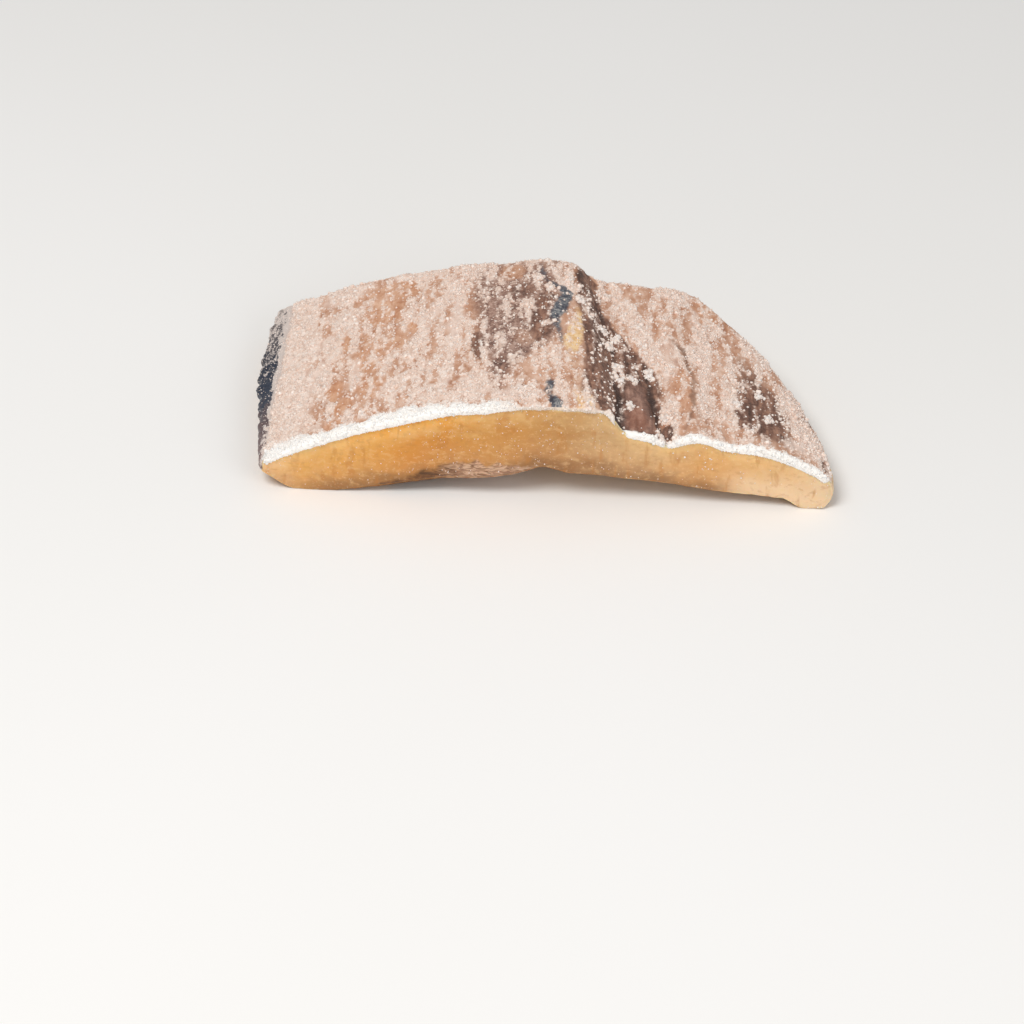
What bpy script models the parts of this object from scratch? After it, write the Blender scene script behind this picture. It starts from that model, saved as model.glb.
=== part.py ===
"""A cut of salted dried cod, skin side up, arched so that it rests on its two belly edges.

X runs across the fish from one belly edge to the other, Y along the fish, and Z up.
The two faces square to Y are knife cuts. The piece is one solid: a block that is divided
into a grid and then shaped by a few functions of its place across and along the fish.
Lengths are in metres.
"""

import math

import bmesh
import bpy

# Outline seen from above
LENGTH = 0.2040
DEPTH = 0.095
RIGHT_TAPER = 0.0445  # how far the right belly edge draws in at the back cut
RIGHT_TAPER_POWER = 2.05
LIP_FRONT = 0.0006  # how far the dark lining stands out past the skin on the left
LIP_SWELL = 0.0034
LIP_BACK = 0.0062
RIM_INSET_FRONT = 0.0045  # from the left end to the line where the skin stops
RIM_INSET_BACK = 0.0082
CORNER_ROUNDING = 0.0028

# Heights above the surface that the piece lies on
CREST_HEIGHT = 0.0400
CREST_FALL = 0.0016  # how much lower the crest is at the back cut
CREST_X = 0.003
EDGE_DROP = 0.0242  # fall of the skin from the crest to the belly edges
LEFT_LIFT = 0.12  # share of that fall which the left edge lacks at the back cut
LIP_HEIGHT_FRONT = 0.0095
LIP_HEIGHT_BACK = 0.0120  # the lining curls up towards the back cut
LIP_THICKNESS = 0.0026
ARCH_RISE = 0.0108
ARCH_X = 0.006
LEFT_FOOT_START = 0.0152  # from the left end to where the flat foot begins
LEFT_FOOT_END = 0.0247  # and to where the arch begins
RIGHT_FOOT = 0.0110
FOOT_STEP = 0.0040  # height of the lump that the right end stands on
SPINE_BED = 0.0030  # depth of the groove that the backbone left
FLESH_SAG = 0.0016  # fullness of the flesh beside that groove

# The back of the fish: a ridge where the fin stood, the step beside it and the furrows
STEP_FRONT_X = 0.0238
STEP_BACK_X = 0.0130
STEP_DROP_FRONT = 0.0085
STEP_DROP_BACK = 0.0060
STEP_SOFTNESS_FRONT = 0.0013
STEP_SOFTNESS_BACK = 0.0036
STEP_FADE = 0.042
RIDGE_HEIGHT = 0.0012
RIDGE_WIDTH = 0.0070

# Grid, and the rounding of its edges
COLUMNS = 62
ROWS = 22
LAYERS = 5
COLUMN_CROWDING = 0.35  # 0 spaces the grid's lines evenly, 1 draws them to its ends
ROW_CROWDING = 0.8
LAYER_CROWDING = 0.5
STEP_COLUMN = 0.24  # the column that follows the step, from -1 at the left to 1 at the right
CUT_EDGE_RADIUS = 0.0012
CUT_EDGE_SHARE = 0.10  # of the half thickness, taken by that rounding
END_ROUNDING = 0.0065
END_SHARE = 0.75
FACE_WAVE = 0.0005
SKIN_WAVE = 0.00035


def mix(a, b, share):
    """The value that lies this share of the way from a to b."""
    return a + (b - a) * share


def smooth_step(start, end, value):
    """0 at start, 1 at end and an S-shaped change between them."""
    share = min(1.0, max(0.0, (value - start) / (end - start)))
    return share * share * (3.0 - 2.0 * share)


def bell(distance, width):
    """A rounded bump: 1 at no distance, fading out over a few widths."""
    return math.exp(-((distance / width) ** 2))


def along(y):
    """0 at the front cut and 1 at the back cut."""
    return min(1.0, max(0.0, y / DEPTH + 0.5))


def ripple(*phases):
    """The mean of the sines of the phases, which stays between -1 and 1."""
    return sum(math.sin(phase) for phase in phases) / len(phases)


def line_x(front_x, back_x, y):
    """Where a line that runs from the front cut to the back cut lies at y."""
    return mix(front_x, back_x, along(y))


def lip_width(y):
    """How far the lining stands out past the skin's left rim."""
    share = along(y)
    torn = 0.0007 * share * ripple(210.0 * y, 470.0 * y + 1.0, 890.0 * y + 2.0)
    return mix(LIP_FRONT, LIP_BACK, share) + LIP_SWELL * math.sin(math.pi * share) + torn


def lip_height(y):
    """Height of the lining's outer edge."""
    return mix(LIP_HEIGHT_FRONT, LIP_HEIGHT_BACK, along(y))


def left_rim(y):
    """X of the line on the left where the skin ends."""
    inset = mix(RIM_INSET_FRONT, RIM_INSET_BACK, along(y))
    return -LENGTH / 2 + inset - 0.0004 * math.sin(95.0 * y)


def right_edge(y):
    """X of the right end, which draws in towards the back."""
    waviness = 0.0005 * ripple(160.0 * y, 330.0 * y + 2.0)
    return LENGTH / 2 - RIGHT_TAPER * along(y) ** RIGHT_TAPER_POWER + waviness


def furrows():
    """X, width and depth, each at the front and the back cut. The depth is negative on a fold."""
    return (
        (0.0425, 0.0210, 0.0025, 0.0030, 0.0029, 0.0012),
        (0.0530, 0.0430, 0.0056, 0.0060, -0.0031, -0.0010),
        (0.0650, 0.0400, 0.0040, 0.0050, 0.0008, 0.0006),
        (-0.0230, -0.0190, 0.0050, 0.0050, 0.0007, 0.0007),
        (-0.0560, -0.0480, 0.0060, 0.0060, 0.0005, 0.0005),
    )


def step_x(y):
    """X of the step that runs along the back, beside the fin's ridge."""
    return line_x(STEP_FRONT_X, STEP_BACK_X, y)


def step_fall(x, y):
    """How far the skin to the right of the step lies below the loin's own curve."""
    share = along(y)
    past = x - step_x(y)
    softness = mix(STEP_SOFTNESS_FRONT, STEP_SOFTNESS_BACK, share)
    fall = mix(STEP_DROP_FRONT, STEP_DROP_BACK, share) * smooth_step(-softness, softness, past)
    kept = mix(0.0, 0.75, share)
    return fall * mix(1.0, kept, smooth_step(0.017, 0.017 + STEP_FADE, past))


def skin_height(x, y):
    """Height of the skin."""
    reach = LENGTH / 2 - RIM_INSET_BACK
    lift = LEFT_LIFT * along(y) if x < CREST_X else 0.0
    height = CREST_HEIGHT - EDGE_DROP * (1.0 - lift) * ((x - CREST_X) / reach) ** 2
    height -= CREST_FALL * along(y) + step_fall(x, y)
    ridge = bell(x - line_x(0.0070, -0.0010, y), RIDGE_WIDTH)
    height += RIDGE_HEIGHT * mix(0.3, 1.0, along(y)) * ridge
    for front_x, back_x, front_width, back_width, front_depth, back_depth in furrows():
        width = mix(front_width, back_width, along(y))
        depth = mix(front_depth, back_depth, along(y))
        height -= depth * bell(x - line_x(front_x, back_x, y), width)
    wave = ripple(260.0 * x + 40.0 * y, 120.0 * x - 90.0 * y, 75.0 * y + 1.0)
    return height + SKIN_WAVE * wave


def arch_share(x, y):
    """0 over the two feet and 1 at the top of the arch on the flesh side."""
    left_foot = -LENGTH / 2 + LEFT_FOOT_END
    right_foot = right_edge(y) - RIGHT_FOOT
    lump_length = mix(0.006, 0.014, along(y))
    rise = smooth_step(left_foot, ARCH_X - 0.004, x) ** 0.8
    fall = smooth_step(right_foot - 0.5 * lump_length, ARCH_X + 0.004, x)
    lump = smooth_step(right_foot, right_foot - lump_length, x)
    return rise * lump * mix(FOOT_STEP / ARCH_RISE, 1.0, fall)


def underside_height(x, y):
    """Height of the flesh side: an arch that ends in a flat foot at each belly edge."""
    share = arch_share(x, y)
    height = ARCH_RISE * share
    height += SPINE_BED * share * bell(x - line_x(0.0, 0.006, y), 0.0050)
    height -= FLESH_SAG * share * bell(x - line_x(-0.020, -0.014, y), 0.0120)
    height += 0.0004 * share * ripple(230.0 * x + 60.0 * y, 140.0 * y + 2.0)
    outer = left_rim(y) - lip_width(y)
    tuck = smooth_step(-LENGTH / 2 + LEFT_FOOT_START, outer, x)
    return max(height, (lip_height(y) - LIP_THICKNESS) * tuck)


def rounded(first, second, first_band, second_band):
    """Rounds the corner of a square of half-size 1 off to an ellipse in the given bands."""
    over_first = (abs(first) - (1.0 - first_band)) / first_band
    over_second = (abs(second) - (1.0 - second_band)) / second_band
    if over_first <= 0.0 or over_second <= 0.0:
        return first, second
    longest = max(over_first, over_second)
    scale = longest / math.hypot(over_first, over_second)
    first_out = math.copysign(1.0 - first_band + first_band * over_first * scale, first)
    second_out = math.copysign(1.0 - second_band + second_band * over_second * scale, second)
    return first_out, second_out


def crowd(value, share):
    """Moves evenly spaced grid lines towards the two ends of their range."""
    return mix(value, math.sin(0.5 * math.pi * value), share)


def grid_block():
    """A block of half-size 1, divided into columns across, rows along and layers through."""
    block = bmesh.new()
    bmesh.ops.create_cube(block, size=2.0)
    for axis, cuts in ((0, COLUMNS - 1), (1, ROWS - 1), (2, LAYERS - 1)):
        lengthwise = []
        for edge in block.edges:
            run = edge.verts[1].co - edge.verts[0].co
            if abs(run[axis]) > 0.5 * run.length:
                lengthwise.append(edge)
        bmesh.ops.subdivide_edges(block, edges=lengthwise, cuts=cuts, use_grid_fill=True)
    return block


def place(across, depthwise, through):
    """The finished position of a grid point, given as shares from -1 to 1."""
    across = crowd(across, COLUMN_CROWDING)
    depthwise = crowd(depthwise, ROW_CROWDING)
    through = crowd(through, LAYER_CROWDING)

    half_length = LENGTH / 2
    half_depth = DEPTH / 2
    across, depthwise = rounded(
        across, depthwise, CORNER_ROUNDING / half_length, CORNER_ROUNDING / half_depth
    )
    if across > 0.0:
        across, through = rounded(across, through, END_ROUNDING / half_length, END_SHARE)
    depthwise, through = rounded(
        depthwise, through, CUT_EDGE_RADIUS / half_depth, CUT_EDGE_SHARE
    )

    y = depthwise * half_depth
    rim = left_rim(y)
    outer = rim - lip_width(y)
    if across < STEP_COLUMN:
        x = mix(outer, step_x(y), (across + 1.0) / (STEP_COLUMN + 1.0))
    else:
        x = mix(step_x(y), right_edge(y), (across - STEP_COLUMN) / (1.0 - STEP_COLUMN))

    past_rim = max(0.0, rim - x) / (rim - outer)
    top = mix(skin_height(max(x, rim), y), lip_height(y), past_rim)
    z = mix(underside_height(x, y), top, 0.5 * (through + 1.0))
    y += FACE_WAVE * depthwise * ripple(75.0 * x + 1.0, 210.0 * z, 160.0 * x - 190.0 * z)
    return x, y, z


def cod_material():
    """Pale, salt-dusted skin over waxy yellow flesh, taken as one even colour."""
    material = bpy.data.materials.new("salted_cod")
    material.use_nodes = True
    shader = material.node_tree.nodes["Principled BSDF"]
    shader.inputs["Base Color"].default_value = (0.66, 0.47, 0.33, 1.0)
    shader.inputs["Roughness"].default_value = 0.7
    shader.inputs["Metallic"].default_value = 0.0
    return material


def stand_at_origin(block):
    """Centres the piece over the origin and sets its feet on Z = 0."""
    for axis in (0, 1):
        places = [vertex.co[axis] for vertex in block.verts]
        middle = 0.5 * (min(places) + max(places))
        for vertex in block.verts:
            vertex.co[axis] -= middle
    lowest = min(vertex.co.z for vertex in block.verts)
    for vertex in block.verts:
        vertex.co.z -= lowest


def salt_cod_piece(collection):
    """The whole cut, as one closed solid."""
    block = grid_block()
    for vertex in block.verts:
        vertex.co = place(*vertex.co)
    stand_at_origin(block)
    bmesh.ops.recalc_face_normals(block, faces=block.faces)
    mesh = bpy.data.meshes.new("salt_cod_piece")
    block.to_mesh(mesh)
    block.free()
    mesh.shade_smooth()
    mesh.set_sharp_from_angle(angle=math.radians(40.0))
    mesh.materials.append(cod_material())
    piece = bpy.data.objects.new("salt_cod_piece", mesh)
    collection.objects.link(piece)
    return piece


def main():
    for old in list(bpy.data.objects):
        bpy.data.objects.remove(old)
    collection = bpy.data.collections.new("salted_dried_cod")
    bpy.context.scene.collection.children.link(collection)
    salt_cod_piece(collection)


main()
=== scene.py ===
import math

import bmesh
import bpy
import numpy as np
from mathutils import Matrix, Vector, noise


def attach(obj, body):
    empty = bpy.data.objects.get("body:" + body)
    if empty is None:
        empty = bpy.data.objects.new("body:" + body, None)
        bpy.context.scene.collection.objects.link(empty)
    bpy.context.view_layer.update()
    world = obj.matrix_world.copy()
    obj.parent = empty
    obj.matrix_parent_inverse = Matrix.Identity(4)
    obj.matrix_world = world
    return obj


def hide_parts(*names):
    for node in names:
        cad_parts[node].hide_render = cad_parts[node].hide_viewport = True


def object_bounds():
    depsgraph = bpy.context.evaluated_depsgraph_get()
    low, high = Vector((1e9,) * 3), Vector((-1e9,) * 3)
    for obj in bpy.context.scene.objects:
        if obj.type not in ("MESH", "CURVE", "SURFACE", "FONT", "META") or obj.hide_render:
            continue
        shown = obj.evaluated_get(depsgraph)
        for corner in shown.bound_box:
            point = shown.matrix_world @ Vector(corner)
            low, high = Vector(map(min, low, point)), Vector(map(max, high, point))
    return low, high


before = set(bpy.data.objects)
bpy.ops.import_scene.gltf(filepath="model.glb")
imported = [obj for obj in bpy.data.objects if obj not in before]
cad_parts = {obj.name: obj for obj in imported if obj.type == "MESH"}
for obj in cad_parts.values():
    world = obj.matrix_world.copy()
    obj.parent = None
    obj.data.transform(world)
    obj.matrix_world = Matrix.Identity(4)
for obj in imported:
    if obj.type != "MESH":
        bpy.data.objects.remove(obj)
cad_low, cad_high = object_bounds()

# A cut of salted dried cod: a slab of salt-crusted skin with a white rim over waxy yellow
# flesh, a torn strip of dark belly lining on the left, and loose salt all over.
# X runs across the fish, Y along it from the front cut to the back cut, and Z up.

NODE = "salt_cod_piece"
MM = 0.001
SEED = 1907

MIDDLE = (cad_low + cad_high) / 2
FRONT_CUT = cad_low.y
BACK_CUT = cad_high.y
BLUNT_END = cad_high.x - 47 * MM  # the end on the right starts here at the back cut
LEFT_RIM_FRONT = cad_low.x + 5.4 * MM  # where the skin stops and the dark lining shows
LEFT_RIM_BACK = cad_low.x + 9.3 * MM

# Skin slab
FLESH_SINK = 1.1 * MM  # how far the flesh lies below the skin's outer face
CUT_INSET = 0.45 * MM  # how far the flesh lies behind the skin's cut edge
LINING_LIFT = 0.45 * MM

# The rim at the cuts, in millimetres. Each row is X, the rim's thickness, how far the white
# salt reaches over the skin, and how white the rim is.
RIM = (
    (-100, 1.7, 7.5, 1.0),
    (-92, 1.8, 7.0, 1.0),
    (-84, 2.1, 5.5, 1.0),
    (-74, 2.5, 5.0, 1.0),
    (-62, 2.6, 6.0, 1.0),
    (-46, 2.6, 6.5, 1.0),
    (-30, 2.3, 5.0, 1.0),
    (-16, 2.0, 4.0, 0.95),
    (-8, 1.5, 1.6, 0.55),
    (0, 1.6, 1.0, 0.4),
    (8, 2.2, 0.8, 0.3),
    (16, 1.3, 1.2, 0.4),
    (22, 1.3, 1.4, 0.6),
    (28, 2.6, 2.4, 1.0),
    (36, 2.6, 2.4, 1.0),
    (42, 1.8, 1.6, 0.9),
    (50, 2.6, 3.0, 1.0),
    (60, 2.5, 2.2, 1.0),
    (72, 3.0, 2.6, 1.0),
    (84, 3.2, 2.6, 1.0),
    (95, 2.6, 2.2, 1.0),
    (103, 2.0, 2.0, 0.8),
)

# Zones of the skin, in millimetres from the middle of the piece.
# Each row is Y, the zone's left and right X there, and its strength.
DARK_BAND = (
    (48, 10, 16, 0.85),
    (38, 10.5, 19, 1.0),
    (24, 11, 20.5, 1.0),
    (14, 12, 25, 0.95),
    (2, 13.5, 34, 0.95),
    (-9, 14, 39.5, 1.0),
    (-16, 14, 41, 1.0),
    (-30, 13.5, 41, 1.0),
    (-40, 16, 41, 1.0),
    (-48, 20, 41, 1.0),
)
GREY_BAND = (
    (48, -29, 6, 0.6),
    (38, -27, 5, 0.9),
    (2, -24, 3, 1.0),
    (-6, -24, 2.5, 1.0),
    (-12, -21.5, -3, 1.0),
    (-18, -20.5, -8, 1.0),
    (-26, -19.5, -12, 0.95),
    (-36, -18.5, -13, 0.6),
    (-42, -17, -14, 0.0),
)
BLUE_STREAK = (
    (46, -5, -1.5, 0.3),
    (38, -4, -1, 0.7),
    (34, -3, 1, 0.6),
    (30, 1, 5.5, 0.7),
    (25, 5, 9.8, 1.0),
    (20, 4, 9.4, 1.0),
    (14, 2, 7.4, 1.0),
    (7, 1, 5, 0.85),
    (0, 2.4, 5.6, 0.75),
    (-7, 4.2, 6.8, 0.6),
    (-14, 5, 7, 0.2),
    (-28, 1, 4, 0.25),
    (-32, 0.8, 4, 0.9),
    (-37, -0.6, 3, 0.75),
    (-41, 1, 3.5, 0.6),
    (-45, 1.2, 6.4, 1.0),
    (-48, 2.5, 6.6, 0.9),
)
FIN_SCAR = (
    (20, 10.5, 11.5, 0.0),
    (14, 9.7, 12, 0.8),
    (4, 9, 13.2, 1.0),
    (-3, 6.8, 13, 1.0),
    (-10, 6.2, 12, 0.8),
    (-16, 6.2, 11, 0.35),
    (-23, 8, 13, 0.2),
    (-35, 8, 14, 0.2),
    (-42, 10, 17, 0.7),
    (-48, 11, 18, 0.6),
)
RIGHT_PATCH = (
    (20, 62, 70, 0.0),
    (9, 67, 76, 0.3),
    (-2, 68, 80, 0.6),
    (-12, 67, 84, 0.95),
    (-25, 66, 86.5, 1.0),
    (-33, 67, 86, 0.95),
    (-40, 74, 87, 0.4),
    (-46, 82, 90, 0.0),
)
WHITE_RIDGE = (
    (48, 20, 26, 0.6),
    (38, 23, 29, 0.9),
    (27, 26.5, 33, 1.0),
    (13, 31, 38, 1.0),
    (3, 34, 40, 1.0),
    (-5, 36.5, 40.5, 0.4),
    (-12, 40, 44, 0.1),
    (-30, 42, 46, 0.3),
    (-48, 45, 51, 0.3),
)
BARE_PATCH = (
    (-13, 31, 33, 0.0),
    (-17, 29.5, 34.5, 0.7),
    (-23, 28, 36, 1.0),
    (-41, 27.6, 38, 1.0),
    (-44.5, 28.5, 37.5, 0.9),
    (-46, 30, 36, 0.0),
)
# Furrows and a step in the skin, sunk into the surface, with their dark inside painted as shade
FURROWS = (
    (
        (-5, 35.5, 36.8, 0.0),
        (-11, 35.6, 37.2, 0.8),
        (-25, 37, 39.2, 1.0),
        (-36, 38.5, 40.4, 0.9),
        (-48, 41.5, 43.5, 0.8),
    ),
    (
        (-14, 23.5, 24.5, 0.0),
        (-20, 24.5, 26.4, 0.7),
        (-27, 25.2, 27.6, 1.0),
        (-40, 24.8, 28, 0.9),
        (-48, 24, 28.5, 1.0),
    ),
    (
        (19, 42, 43.4, 0.0),
        (8, 47.5, 50.2, 0.6),
        (2, 49.5, 52, 0.6),
        (-10, 52, 53.5, 0.3),
        (-20, 52, 53.5, 0.5),
        (-37, 50, 51.4, 0.5),
        (-44, 49, 50, 0.0),
    ),
    ((30, 17, 18.5, 0.0), (20, 19, 21, 0.6), (8, 22.5, 24, 0.6), (-6, 24, 26, 0.5), (-16, 24, 25, 0.0)),
)
PALE_STREAKS = (
    (
        (38, -31, -29, 0.0),
        (31, -35.8, -31, 0.9),
        (23, -41, -36.5, 0.9),
        (10, -45, -41, 0.5),
        (-3, -47.8, -43.2, 0.5),
        (-9, -47, -45, 0.0),
    ),
    ((-13, -42, -40, 0.0), (-19, -48, -41.5, 0.9), (-25, -57, -50, 0.9), (-29, -60, -57, 0.0)),
    ((48, -95, -84, 1.0), (0, -98, -85, 1.0), (-48, -100, -88, 1.0)),
    ((46, -35, -33.5, 0.0), (30, -33, -30, 0.9), (0, -34, -31, 0.8), (-30, -37, -34, 0.8), (-40, -39, -37, 0.0)),
    ((44, 50, 52, 0.0), (30, 53, 56, 0.8), (0, 55, 58, 0.9), (-26, 54, 57, 0.8), (-40, 52, 54, 0.0)),
)
# Patches: X, Y, half width across, half length along and strength
DARK_PATCHES = (
    (44, -41, 2.4, 4.5, 0.9),
    (-1, 19, 4, 6, 0.7),
    (-9, 27, 5, 5, 0.55),
    (-2, 3, 4, 12, 0.8),
    (-24, -7, 3, 10, 0.65),
    (-9, -37, 3, 5, 0.5),
    (15, -33, 3, 6, 0.6),
    (-16, -22, 3.5, 9, 0.45),
    (100, -41, 3, 4, 1.0),
    (93, -14, 2.5, 6, 0.5),
)
TAN_PATCHES = (
    (-47, 10, 2.8, 4.5, 1.0),
    (-60, 24, 9, 10, 0.7),
    (-57, 35, 13, 7, 0.6),
    (-72, 8, 3.5, 5, 0.65),
    (-63, 8, 3, 5, 0.6),
    (-62, -5, 6, 10, 0.75),
    (-61, -24, 5, 8, 0.65),
    (-54, 2, 4, 7, 0.55),
    (-74, -20, 3.4, 7, 1.0),
    (-70, -33, 3.2, 5, 0.9),
    (-73, -41, 4, 3, 0.8),
    (-91, 1, 2.2, 12, 0.3),
    (-6, -4, 5, 6, 0.45),
    (-13, 39, 5, 5, 0.8),
    (15, 42, 4, 6, 0.6),
    (66, 36, 15, 8, 0.5),
    (49, -18, 4, 14, 0.5),
    (81, -31, 5, 6, 0.9),
)
PALE_PATCHES = (
    (-77, 8, 2.6, 9, 0.9),
    (-83, 12, 3, 8, 0.8),
    (-80, -9, 3, 11, 0.85),
    (-74, 41, 7, 7, 0.85),
    (-73, 22, 4, 6, 0.7),
    (-47, 45, 9, 4, 1.0),
    (-26, 42, 5, 5, 0.8),
    (-94, 38, 4, 10, 0.8),
    (-67, -14, 2.0, 9, 0.6),
    (-32, 8, 4, 7, 0.6),
    (-40, -34, 6, 5, 0.6),
    (-25, -34, 6, 8, 1.0),
    (-9, -40, 9, 4, 0.8),
    (6.5, 28, 3, 6, 1.0),
    (74, 34, 4, 9, 0.8),
    (46, 44, 7, 5, 0.8),
    (55, 6, 4, 6, 0.6),
    (88, -8, 4, 10, 0.9),
    (90, -22, 4, 9, 0.9),
    (95, -31, 4.5, 9, 1.0),
    (-88, -20, 6, 26, 0.8),
    (-90, 25, 6, 22, 0.7),
    (88, -37, 5, 4, 0.7),
    (78, 22, 4, 12, 0.7),
    (44, 2, 4, 14, 0.4),
)
GLOW_PATCHES = ((32.5, -38, 3.6, 7, 0.8),)
# The membrane left on the flesh side, and on the left a painted shadow along the foot of the cuts.
# Each row is X, how high it reaches up the cuts, in millimetres, and how much of it is that dark painted shadow.
MEMBRANE = (
    (-66, 0.0, 1.0),
    (-58, 1.2, 1.0),
    (-50, 2.6, 1.0),
    (-43, 4.6, 1.0),
    (-37, 6.2, 0.95),
    (-32, 7.0, 0.4),
    (-27, 7.0, 0.0),
    (-16, 6.6, 0.0),
    (-8, 3.4, 0.0),
    (0, 1.2, 0.0),
    (4, 0.0, 0.0),
)
FLESH_SPECKS = (-36, -30, -12, 1, 20, 56)  # X of the places where the cut flesh is dusted
# Places where big crystals have grown together
SALT_LUMPS = (
    (-3, 34),
    (1, 27),
    (8, 34),
    (12, 22),
    (21.5, 36),
    (20, 12),
    (25, 9),
    (23, 3),
    (25, -9),
    (31, -14),
    (26, -16),
    (37, -8),
    (30, -31),
    (35, 5),
    (33, 18),
    (42, -34),
    (41, -45),
    (76, -12),
    (79, -26),
    (67, -20),
)


def ease(start, end, value):
    """0 at start, 1 at end and an S-shaped change between them."""
    share = np.clip((value - start) / (end - start), 0.0, 1.0)
    return share * share * (3.0 - 2.0 * share)


def hump(distance, width):
    """1 at no distance, fading out over a few widths."""
    return np.exp(-((distance / width) ** 2))


def ripples(points, sizes, shift=0.0):
    """Smooth noise between about -1 and 1, whose lumps have these sizes along X, Y and Z."""
    places = points / np.array(sizes) + shift
    return np.array([noise.noise(Vector(place)) for place in places.tolist()])


def strip(x, y, rows, softness):
    """How strongly a zone given by rows covers each place. All in millimetres."""
    table = np.array(sorted(rows))
    left = np.interp(y, table[:, 0], table[:, 1])
    right = np.interp(y, table[:, 0], table[:, 2])
    strength = np.interp(y, table[:, 0], table[:, 3])
    strength = np.where((y < table[0, 0] - 3) | (y > table[-1, 0] + 3), 0.0, strength)
    inside = ease(left - softness, left + softness, x) * ease(right + softness, right - softness, x)
    return inside * strength


def patches(x, y, rows):
    """The strongest of several soft-edged ovals at each place. All in millimetres."""
    best = np.zeros_like(x)
    for across, along, half_width, half_length, strength in rows:
        reach = ((x - across) / half_width) ** 2 + ((y - along) / half_length) ** 2
        best = np.maximum(best, strength * ease(1.6, 0.3, reach))
    return best


def column(rows, x, number):
    """One number of a table's rows at each X, in millimetres."""
    table = np.array(rows)
    return np.interp(x, table[:, 0], table[:, number])


def left_rim(y):
    """X of the line on the left where the skin stops."""
    return LEFT_RIM_FRONT + (LEFT_RIM_BACK - LEFT_RIM_FRONT) * (y - FRONT_CUT) / (BACK_CUT - FRONT_CUT)


def skin_zones(points):
    """Every zone of the skin as an array of strengths."""
    x = (points[:, 0] - MIDDLE.x) / MM
    y = (points[:, 1] - MIDDLE.y) / MM
    flat = points * np.array((1.0, 1.0, 0.0))
    true_x = x
    x = x + 1.3 * ripples(flat, (6 * MM, 9 * MM, 1), 3.0) + 0.9 * ripples(flat, (1.8 * MM, 2.6 * MM, 1), 8.0)
    y = y + 2.6 * ripples(flat, (8 * MM, 8 * MM, 1), 5.0) + 1.4 * ripples(flat, (2 * MM, 3 * MM, 1), 9.0)
    shaded_furrow = np.zeros_like(x)
    for rows in FURROWS:
        shaded_furrow = np.maximum(shaded_furrow, strip(x, y, rows, 0.6))
    bare = strip(0.5 * (true_x + x), y, BARE_PATCH, 1.5)
    middle_dark = np.maximum(strip(x, y, DARK_BAND, 2.0), patches(x, y, DARK_PATCHES))
    dark = np.maximum(middle_dark, strip(x, y, RIGHT_PATCH, 3.5))
    ridge = strip(x, y, WHITE_RIDGE, 2.0)
    grey = strip(x, y, GREY_BAND, 3.0)
    blue = strip(x, y, BLUE_STREAK, 1.5)
    scar = strip(x, y, FIN_SCAR, 1.8)
    tan = patches(x, y, TAN_PATCHES)
    pale = patches(x, y, PALE_PATCHES)
    for rows in PALE_STREAKS:
        pale = np.maximum(pale, strip(x, y, rows, 1.2))

    from_front = (points[:, 1] - FRONT_CUT) / MM
    from_back = (BACK_CUT - points[:, 1]) / MM
    uneven = 0.6 * ripples(flat, (5 * MM, 5 * MM, 1), 11.0) + 0.5 * ripples(flat, (1.7 * MM, 1.7 * MM, 1), 10.0)
    reach = column(RIM, true_x, 2) * (1.0 + uneven)
    reach = np.maximum(reach, 0.4)
    ragged = 0.7 * ripples(flat, (1.6 * MM, 1.6 * MM, 1), 12.0)
    bank = ease(1.4 * reach, 0.4 * reach, from_front + ragged)
    bank = np.maximum(bank, ease(1.4, 0.5, from_back + ragged))
    bank = bank * (1.0 - 0.5 * bare) * (1.0 - 0.5 * shaded_furrow) * (1.0 - 0.8 * blue)

    salt = 0.5 + 0.45 * ridge + 0.35 * pale + 0.5 * bank - 0.22 * dark - 0.10 * grey - 0.5 * blue
    salt += -0.25 * scar - 0.9 * bare - 0.5 * shaded_furrow - 0.3 * tan - 0.09 * middle_dark
    salt = np.clip(salt + 0.40 * ripples(flat, (7 * MM, 30 * MM, 1), 13.0), 0.0, 1.0)
    clots = 0.7 * ripples(flat, (2.6 * MM, 11 * MM, 1), 41.0)
    clots += 0.5 * ripples(flat, (1.9 * MM, 3.0 * MM, 1), 43.0)
    clots += 0.4 * ripples(flat, (0.9 * MM, 1.1 * MM, 1), 45.0)
    crust = ease(-0.34, 0.42, clots + 1.1 * (salt - 0.48)) * (1.0 - bare)
    return {
        "dark": dark * (1.0 - 0.6 * ridge),
        "grey": grey,
        "blue": blue,
        "scar": scar,
        "tan": tan,
        "pale": pale,
        "bare": bare,
        "glow": patches(x, y, GLOW_PATCHES),
        "shaded_furrow": shaded_furrow,
        "bank": bank,
        "salt": salt,
        "crust": crust,
        "white": np.clip(column(RIM, true_x, 3), 0.0, 1.0),
    }


def merged_cut():
    """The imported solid's mesh with its loose triangles joined up again."""
    cut = bmesh.new()
    cut.from_mesh(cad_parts[NODE].data)
    bmesh.ops.remove_doubles(cut, verts=cut.verts[:], dist=1e-6)
    bmesh.ops.join_triangles(
        cut,
        faces=cut.faces[:],
        angle_face_threshold=math.radians(60.0),
        angle_shape_threshold=math.radians(60.0),
    )
    cut.normal_update()
    return cut


def smoothed(block, levels):
    """The block after so many rounds of Catmull-Clark smoothing."""
    mesh = bpy.data.meshes.new("rough")
    block.to_mesh(mesh)
    block.free()
    rough = bpy.data.objects.new("rough", mesh)
    bpy.context.scene.collection.objects.link(rough)
    modifier = rough.modifiers.new("smooth", "SUBSURF")
    modifier.levels = levels
    modifier.render_levels = levels
    bpy.context.view_layer.update()
    result = bmesh.new()
    finished = rough.evaluated_get(bpy.context.evaluated_depsgraph_get())
    result.from_mesh(finished.to_mesh())
    finished.to_mesh_clear()
    bpy.data.objects.remove(rough)
    bpy.data.meshes.remove(mesh)
    result.normal_update()
    return result


def keep_faces(block, wanted):
    """Deletes every face for which wanted is not true."""
    spare = [face for face in block.faces if not wanted(face)]
    bmesh.ops.delete(block, geom=spare, context="FACES")
    block.normal_update()


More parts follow.
